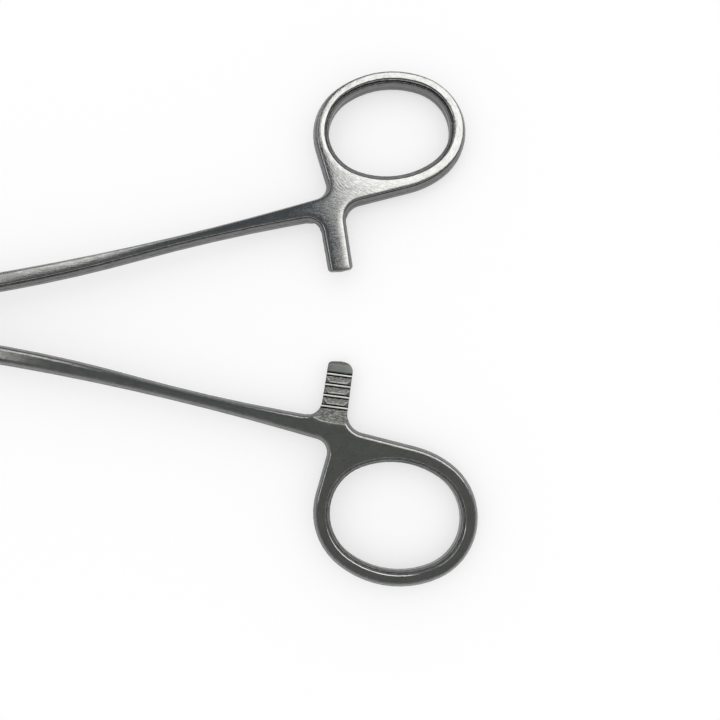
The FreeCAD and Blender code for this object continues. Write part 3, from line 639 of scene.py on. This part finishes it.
        by_hole, rolled = self.roll_into_hole(graph, spot, instrument)
        normals = self.soft_edges(graph, by_hole, rolled)
        torn_share = graph.math("MULTIPLY", zone, graph.math("SUBTRACT", before_tip, crest))
        layers = (
            (self.form(graph, spot, by_hole, zone), MILLIMETRE),
            (polish["Height"], self.wave_depth),
            (stroke_height, self.grain_depth),
            (graph.math("MULTIPLY", milled["Height"], torn_share), self.milled_depth),
        )
        for height, depth in layers:
            normals = graph.bump(height, depth, normals)
        graph.metal(
            Base_Color=graph.blend(zone, steel, ratchet),
            Roughness=graph.between(zone, polished, self.milled_roughness),
            Normal=normals,
        )
        return material

    def ratchet_colour(
        self, graph: Graph, spot: Spot, milled: bpy.types.NodeOutputs, crest: Socket
    ) -> Socket:
        """Colour of the ratchet's floor and ramps, with painted highlights on the crests and lips and painted
        shade beside them.

        Args:
            graph: Graph of the material.
            spot: Place that is shaded.
            milled: Outputs with the height and the speckle of the torn surface.
            crest: Mask of the crests.

        Returns:
            The colour.
        """
        colour = graph.blend(milled["Speckle"], (*self.milled_colour, 1.0), (*self.milled_light, 1.0))
        light, dark = self.tooth_marks(graph, spot, milled["Height"])
        # Crests and bright lines get a painted highlight in a pale colour; the dark lines get painted shade
        # in a near-black colour.
        for mask, mark in ((light, self.crest_highlight_colour), (dark, self.tooth_shade_colour), (crest, self.crest_highlight_colour)):
            colour = graph.blend(mask, colour, (*mark, 1.0))
        return colour

    def soft_edges(self, graph: Graph, by_hole: Socket, rolled: Socket) -> Socket:
        """Normals with rounded edges and slightly crowned flats, as hand polishing leaves them.

        Args:
            graph: Graph of the material.
            by_hole: Mask of the zone round the finger hole.
            rolled: Normals in that zone.

        Returns:
            The normals.
        """
        rounded = []
        for radius in (self.edge_radius, self.crown_radius):
            bevel = graph.add("ShaderNodeBevel", {"samples": self.edge_samples})
            bevel.inputs["Radius"].default_value = radius
            rounded.append(bevel.outputs[0])
        crowned = graph.mix(Kind.VECTOR, self.crown_share, *rounded)
        return graph.vector("NORMALIZE", graph.mix(Kind.VECTOR, by_hole, crowned, rolled))

    def roll_into_hole(self, graph: Graph, spot: Spot, instrument: Instrument) -> tuple[Socket, Socket]:
        """Rounded form of the ring towards its finger hole, as polishing with a bob leaves it.

        Args:
            graph: Graph of the material.
            spot: Place that is shaded.
            instrument: Where the instrument's axes lie.

        Returns:
            The mask of the oval zone round the hole and the normals in it.
        """
        centre = (self.ring_centre[0], spot.side.value * self.ring_centre[1])
        squares, inwards = [], []
        for place, middle, half in zip((spot.x, spot.y), centre, self.hole_zone):
            share = graph.math("DIVIDE", graph.math("SUBTRACT", place, middle), half)
            squares.append(graph.math("MULTIPLY", share, share))
            inwards.append(graph.math("DIVIDE", share, -half))
        reach = graph.math("ADD", *squares)
        below = graph.math("SUBTRACT", self.handle_half, spot.level)
        turned = graph.ramp(reach, *self.crown_run, self.hole_crown, 0.0)
        for start, end, angle in self.hole_turns:
            turned = graph.math("ADD", turned, graph.ramp(below, start, end, 0.0, angle))
        lean = graph.math("SINE", turned)
        x, y, _ = graph.parts(graph.vector("NORMALIZE", graph.joined(X=inwards[0], Y=inwards[1])))
        upright = graph.math("MULTIPLY", graph.math("COSINE", turned), graph.math("SIGN", spot.z))
        own = graph.joined(X=graph.math("MULTIPLY", x, lean), Y=graph.math("MULTIPLY", y, lean), Z=upright)
        turning = graph.add("ShaderNodeMapping", {"vector_type": "VECTOR"}, Vector=own)
        rotation = instrument.turn(instrument.swing(spot.side))
        turning.inputs["Rotation"].default_value = rotation.to_euler("XYZ")
        spaces = {"vector_type": "NORMAL", "convert_from": "OBJECT", "convert_to": "WORLD"}
        placed = graph.add("ShaderNodeVectorTransform", spaces, Vector=turning.outputs[0])
        return graph.ramp(reach, *self.zone_border, 1.0, 0.0), placed.outputs[0]

    def form(self, graph: Graph, spot: Spot, by_hole: Socket, zone: Socket) -> Socket:
        """Height in millimetres of the bulging side bevels and of the levelled tip.

        Args:
            graph: Graph of the material.
            spot: Place that is shaded.
            by_hole: Mask of the zone round the finger hole.
            zone: Mask of the milled zone.

        Returns:
            The height output.
        """
        half = graph.ramp(spot.x, *self.taper, self.root_half, self.handle_half)
        below = graph.math("SUBTRACT", half, spot.level)
        depth = graph.math("DIVIDE", below, self.bevel_depth, clamp=True)
        bulge = graph.math("MULTIPLY", depth, graph.math("SUBTRACT", 1.0, depth))
        bulge = graph.math("MULTIPLY", bulge, ARCH * self.bevel_bulge)
        bulge = graph.math("MULTIPLY", bulge, graph.math("GREATER_THAN", spot.x, self.taper[0]))
        bulge = graph.math("MULTIPLY", bulge, graph.math("SUBTRACT", 1.0, by_hole))
        past_tip = graph.math("SUBTRACT", -self.tip_start, spot.across)
        levelled = graph.math("MULTIPLY", graph.math("MAXIMUM", past_tip, 0.0), self.tip_tilt)
        return graph.math("MULTIPLY_ADD", levelled, zone, bulge)

    def brushing(self, graph: Graph, effects: SharedEffects, spot: Spot) -> tuple[Socket, Socket]:
        """Brush strokes that run straight on shank and jaw and round on the ring.

        Args:
            graph: Graph of the material.
            effects: The shared node groups.
            spot: Place that is shaded.

        Returns:
            The strokes' height and the mask of the streaks.
        """
        centre = (self.ring_centre[0], spot.side.value * self.ring_centre[1], 0.0)
        x, y, z = graph.parts(graph.vector("SUBTRACT", spot.own, centre))
        radius, angle = graph.polar(x, y)
        around = graph.joined(X=graph.math("MULTIPLY", angle, self.ring_radius), Y=radius, Z=z)
        straightness = graph.ramp(radius, *self.straight_run)
        seed = float(spot.side.value)
        strokes = [effects.place(graph, "grain", Run=run, Seed=seed) for run in (around, spot.own)]
        height, streaks = (
            graph.between(straightness, *(stroke.outputs[name] for stroke in strokes))
            for name in ("Height", "Streaks")
        )
        return height, streaks

    def crest_mask(self, graph: Graph, spot: Spot, before_tip: Socket) -> Socket:
        """Mask of the narrow crests of the ratchet.

        Args:
            graph: Graph of the material.
            spot: Place that is shaded.
            before_tip: Mask of the arm before its smooth tip.

        Returns:
            The mask, 1 on a crest.
        """
        first, pitch, half = self.crests
        offset = graph.math("PINGPONG", graph.math("SUBTRACT", spot.across, first), pitch / 2)
        near = graph.ramp(offset, half, half + self.soft_border[0], 1.0, 0.0)
        inside = graph.math("LESS_THAN", spot.across, first + pitch / 2)
        return graph.math("MULTIPLY", near, graph.math("MULTIPLY", inside, before_tip))

    def tooth_marks(self, graph: Graph, spot: Spot, torn: Socket) -> tuple[Socket, Socket]:
        """Painted highlights along a ramp's lip and the edges of its slanted end facets, and painted shade
        beside a crest, in its notch and on the facets.

        Args:
            graph: Graph of the material.
            spot: Place that is shaded.
            torn: Height of the torn surface, which makes the lines uneven.

        Returns:
            The mask of the painted highlights and the mask of the painted shade.
        """
        first, pitch, _ = self.crests
        from_crest = graph.math("WRAP", graph.math("SUBTRACT", spot.across, first), pitch, 0.0)
        wobble = graph.math("MULTIPLY", graph.math("SUBTRACT", torn, NOISE_MIDDLE), self.wobble)
        uneven = graph.math("ADD", from_crest, wobble)
        reach = graph.math("ABSOLUTE", graph.math("SUBTRACT", spot.x, self.arm_middle))
        slant = graph.math("ADD", reach, graph.math("MULTIPLY", uneven, self.facet_slant))
        past_facet = graph.math("SUBTRACT", slant, self.facet_reach)
        on_tooth = graph.math("LESS_THAN", spot.across, first)
        at_crests = graph.math("LESS_THAN", spot.across, first + pitch / 2)
        started = graph.math("GREATER_THAN", from_crest, self.facet_start)

        # Painted highlight along the ramp's lip and along the edges of its end facets.
        facet_edge = graph.ramp(graph.math("ABSOLUTE", past_facet), *self.facet_highlight_reach, 1.0, 0.0)
        between_facets = graph.math("LESS_THAN", past_facet, self.lip_end)
        lip = graph.math("MULTIPLY", self.strip(graph, uneven, self.lip), between_facets)
        lip_and_facet_highlight = graph.math("MAXIMUM", lip, graph.math("MULTIPLY", facet_edge, started))
        light = graph.math("MULTIPLY", graph.math("MULTIPLY", lip_and_facet_highlight, on_tooth), self.highlight_share)

        # Painted shade on the end facets, in the notch behind the lip and at the foot of each crest.
        on_facet = graph.math("GREATER_THAN", past_facet, self.facet_inside)
        shade = graph.math("MULTIPLY", graph.math("MULTIPLY", on_facet, started), self.facet_shade)
        notch = graph.math("MAXIMUM", self.strip(graph, from_crest, self.notch), shade)
        notch = graph.math("MULTIPLY", notch, on_tooth)
        foot = graph.math("MULTIPLY", self.strip(graph, from_crest, self.foot), at_crests)
        return light, graph.math("MAXIMUM", notch, foot)

    def strip(self, graph: Graph, value: Socket, ends: Pair) -> Socket:
        """Mask of a strip with soft borders.

        Args:
            graph: Graph of the material.
            value: Output that says where a place lies across the strip.
            ends: Where the strip starts and ends.

        Returns:
            The mask, 1 in the strip.
        """
        start, end = ends
        outside, inside = self.soft_border
        rise = graph.ramp(value, start - outside, start + inside)
        return graph.math("MULTIPLY", rise, graph.ramp(value, end - inside, end + outside, 1.0, 0.0))

    def milled_zone(self, graph: Graph, spot: Spot) -> Socket:
        """Mask of the ratchet's floor and ramps.

        Args:
            graph: Graph of the material.
            spot: Place that is shaded.

        Returns:
            The mask, 1 in the zone.
        """
        normal = graph.add("ShaderNodeTexCoord").outputs["Normal"]
        upwards = graph.math("ABSOLUTE", graph.parts(normal)[2])
        mask = graph.ramp(upwards, *self.level_faces)
        places = (spot.x, spot.across, spot.z)
        for place, low, high in zip(places, self.ratchet_low, self.ratchet_high):
            above = graph.math("GREATER_THAN", place, low)
            below = graph.math("LESS_THAN", place, high)
            mask = graph.math("MULTIPLY", mask, graph.math("MULTIPLY", above, below))
        return mask


@dataclass(frozen=True)
class PinSteel:
    """Steel of the riveted pin, ground flush with the box in circles.

    Attributes:
        name: Name of the material.
        colour: Colour of the metal, linear.
        roughness: Roughness of the ground ends between the streaks.
        streak_roughness: What a streak adds to it.
        grain_depth: Depth of the grinding marks, in metres.
        seed: Number that sets its marks apart from those of the halves.
    """

    name: str = "riveted_pin_steel"
    colour: Triple = (0.44, 0.44, 0.45)
    roughness: float = 0.3
    streak_roughness: float = 0.08
    grain_depth: float = 5e-6
    seed: float = 3.0

    def make(self, effects: SharedEffects, instrument: Instrument) -> bpy.types.Material:
        """Build the material.

        Args:
            effects: The shared node groups.
            instrument: Where the pin's axis lies.

        Returns:
            The material.
        """
        material = bpy.data.materials.new(self.name)
        material.use_nodes = True
        graph = Graph(material.node_tree)
        x, y, z = graph.parts(instrument.coordinates(graph))
        radius, angle = graph.polar(x, y)
        run = graph.joined(X=angle, Y=radius, Z=z)
        grain = effects.place(graph, "grain", Run=run, Seed=self.seed).outputs
        graph.metal(
            Base_Color=(*self.colour, 1.0),
            Roughness=graph.math("MULTIPLY_ADD", grain["Streaks"], self.streak_roughness, self.roughness),
            Normal=graph.bump(grain["Height"], self.grain_depth),
        )
        return material


@dataclass
class Forceps:
    """The instrument itself: both forged halves and the pin keep their solids and get their steel."""

    instrument: Instrument
    effects: SharedEffects

    def dress(self) -> None:
        """Give each piece its finish."""
        finishes = {
            "box_half": SatinSteel("box_half_steel").make(self.effects, self.instrument, Side.BOX),
            "tongue_half": SatinSteel("tongue_half_steel").make(self.effects, self.instrument, Side.TONGUE),
            "pivot_pin": PinSteel().make(self.effects, self.instrument),
        }
        for node, material in finishes.items():
            piece = frame["nodes"][node]
            for holder in piece.material_slots:
                holder.material = material
            LOG.info("%s: %s", node, material.name)


@dataclass(frozen=True)
class SoftBox:
    """A lit panel of the studio, painted on the sky on a level plane above the object.

    Attributes:
        name: What the panel is for.
        low: Lowest sideways and lengthways slope at which it is seen, as X and Y over height.
        high: Highest of both.
        edge: Width over which its border fades, on the same plane.
        radiance: Brightness of its face, where 1 is white.
        colour: Tint of the panel, linear.
    """

    name: str
    low: Pair
    high: Pair
    edge: float
    radiance: float
    colour: Triple = (1.0, 0.985, 0.96)

    def paint(self, graph: Graph, slopes: tuple[Socket, ...], backdrop: Socket) -> Socket:
        """Lay the panel over the colour behind it.

        Args:
            graph: Graph of the world.
            slopes: Outputs with the direction's two slopes.
            backdrop: Colour of the sky so far.

        Returns:
            The colour with the panel in it.
        """
        mask = 1.0
        for slope, low, high in zip(slopes, self.low, self.high):
            rise = graph.ramp(slope, low - self.edge, low + self.edge)
            fall = graph.ramp(slope, high - self.edge, high + self.edge, 1.0, 0.0)
            mask = graph.math("MULTIPLY", graph.math("MULTIPLY", mask, rise), fall)
        lit = [channel * self.radiance for channel in self.colour]
        LOG.info("light: %s", self.name)
        return graph.blend(mask, backdrop, (*lit, 1.0))


@dataclass
class Studio:
    """Pale floor, soft light and the camera at the photograph's angle.

    Attributes:
        instrument: Where the instrument's axes lie.
        camera_place: Camera along the instrument's axes, in millimetres.
        camera_turns: Turns about the instrument's X, Y and Z, in radians.
        focal_length: Lens on a 36 mm sensor, in millimetres.
        near_limit: Nearest distance that the camera sees, in metres.
        floor_reach: Half the floor's side, in metres.
        floor_colour: Floor's own colour, linear.
        floor_glow: What the floor adds where it is seen, where 1 is white.
        mirrored_glow: What it adds where it is mirrored.
        backdrop: Colour of the backdrop behind the floor's edge, as the camera sees it.
        plain_level: Sky as matt surfaces see it, where 1 is white.
        near_horizon: Room near the horizon on the near side, as it is mirrored.
        far_horizon: Room near the horizon on the far side.
        far_run: Share of the direction towards the far side between which it goes over.
        low_backdrop: Pale backdrop all round at the level of the table, as it is mirrored.
        backdrop_top: Sines of the elevations over which it gives way to the room.
        light_band: Row of ceiling lights all round above it.
        band_edges: Sines of the elevations at which the row of lights starts and ends.
        near_zenith: Ceiling above on the near side.
        far_zenith: Ceiling above on the far side.
        zenith_run: Lengthways slopes between which it goes over.
        soft_boxes: Lit panels, as they are mirrored.
    """

    instrument: Instrument
    camera_place: Triple = (107.44, -33.76, 159.8)
    camera_turns: Triple = (0.1502, -0.0241, -0.0056)
    focal_length: float = 37.5
    near_limit: float = 0.01
    floor_reach: float = 6.0
    floor_colour: Triple = (0.5, 0.5, 0.5)
    floor_glow: float = 0.55
    mirrored_glow: float = 0.3
    backdrop: Triple = (0.96, 0.96, 0.96)
    plain_level: float = 0.9
    near_horizon: Triple = (0.04, 0.042, 0.045)
    far_horizon: Triple = (0.24, 0.245, 0.25)
    far_run: Pair = (0.1, 0.7)
    low_backdrop: Triple = (0.7, 0.7, 0.7)
    backdrop_top: Pair = (0.05, 0.2)
    light_band: Triple = (1.5, 1.5, 1.46)
    band_edges: tuple[float, float, float, float] = (0.46, 0.52, 0.60, 0.68)
    near_zenith: Triple = (0.29, 0.30, 0.285)
    far_zenith: Triple = (0.19, 0.22, 0.245)
    zenith_run: Pair = (0.08, 0.3)
    soft_boxes: tuple[SoftBox, ...] = (
        SoftBox("large panel behind the rings", (0.025, 0.36), (1.1, 0.8), 0.015, 3.9),
        SoftBox("its lower end beside the ratchet", (0.055, 0.21), (1.1, 0.4), 0.015, 3.6),
        SoftBox("side panel beyond the shanks", (-0.46, 0.28), (-0.28, 0.8), 0.03, 2.6),
        SoftBox("side panel beyond the jaws", (-1.4, 0.08), (-0.42, 0.28), 0.03, 2.2),
    )

    def build(self) -> None:
        """Make the camera, floor and sky."""
        self.make_camera()
        self.make_floor()
        self.make_sky()
        bpy.context.scene.view_settings.view_transform = "Standard"

    def make_camera(self) -> None:
        """Camera at the photograph's angle."""
        lens = bpy.data.cameras.new("camera")
        lens.lens = self.focal_length
        lens.clip_start = self.near_limit
        camera = bpy.data.objects.new("camera", lens)
        turn = self.instrument.turn()
        for angle, axis in zip(self.camera_turns, "XYZ"):
            turn = turn @ Matrix.Rotation(angle, 3, axis)
        place = self.instrument.place(*self.camera_place)
        camera.matrix_world = Matrix.Translation(place) @ turn.to_4x4()
        bpy.context.scene.collection.objects.link(camera)
        bpy.context.scene.camera = camera

    def make_floor(self) -> None:
        """Pale matt floor that keeps the shadow and is near white where it is seen or mirrored."""
        mesh = bpy.data.meshes.new("floor")
        reach = self.floor_reach
        corners = [(-reach, -reach, 0.0), (reach, -reach, 0.0), (reach, reach, 0.0), (-reach, reach, 0.0)]
        mesh.from_pydata(corners, [], [(0, 1, 2, 3)])
        floor = bpy.data.objects.new("floor", mesh)
        bpy.context.scene.collection.objects.link(floor)
        material = bpy.data.materials.new("pale_floor")
        material.use_nodes = True
        graph = Graph(material.node_tree)
        matt = graph.add("ShaderNodeBsdfDiffuse", Color=(*self.floor_colour, 1.0))
        seen, mirrored = graph.rays()
        glow = graph.math("MULTIPLY", seen, self.floor_glow)
        glow = graph.math("MULTIPLY_ADD", mirrored, self.mirrored_glow, glow)
        emission = graph.add("ShaderNodeEmission", Strength=glow)
        both = graph.add("ShaderNodeAddShader")
        graph.feed(both.inputs[0], matt.outputs[0])
        graph.feed(both.inputs[1], emission.outputs[0])
        graph.add("ShaderNodeOutputMaterial", Surface=both.outputs[0])
        mesh.materials.append(material)

    def make_sky(self) -> None:
        """Grey studio with its lit panels as it is mirrored, and a plain level for matt surfaces."""
        world = bpy.data.worlds.new("studio")
        world.use_nodes = True
        bpy.context.scene.world = world
        graph = Graph(world.node_tree)
        x, y, height = graph.parts(graph.add("ShaderNodeTexCoord").outputs["Generated"])
        above = graph.math("MAXIMUM", height, LEAST_HEIGHT)
        slopes = tuple(graph.math("DIVIDE", way, above) for way in (x, y))
        far = graph.ramp(y, *self.far_run)
        room = graph.blend(far, (*self.near_horizon, 1.0), (*self.far_horizon, 1.0))
        room = graph.blend(graph.ramp(height, *self.backdrop_top), (*self.low_backdrop, 1.0), room)
        beyond = graph.ramp(slopes[1], *self.zenith_run)
        ceiling = graph.blend(beyond, (*self.near_zenith, 1.0), (*self.far_zenith, 1.0))
        start, full, fade, end = self.band_edges
        picture = graph.blend(graph.ramp(height, start, full), room, (*self.light_band, 1.0))
        picture = graph.blend(graph.ramp(height, fade, end), picture, ceiling)
        for box in self.soft_boxes:
            picture = box.paint(graph, slopes, picture)
        seen, mirrored = graph.rays()
        plain = (*(self.plain_level,) * 3, 1.0)
        colour = graph.blend(mirrored, plain, picture)
        colour = graph.blend(seen, colour, (*self.backdrop, 1.0))
        sky = graph.add("ShaderNodeBackground", Color=colour, Strength=1.0)
        graph.add("ShaderNodeOutputWorld", Surface=sky.outputs[0])


def main() -> None:
    """Dress the forceps and build the studio."""
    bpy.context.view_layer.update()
    instrument = Instrument.from_joint(frame["joints"][0])
    Forceps(instrument, SharedEffects()).dress()
    Studio(instrument).build()


if __name__ == "__main__":
    main()
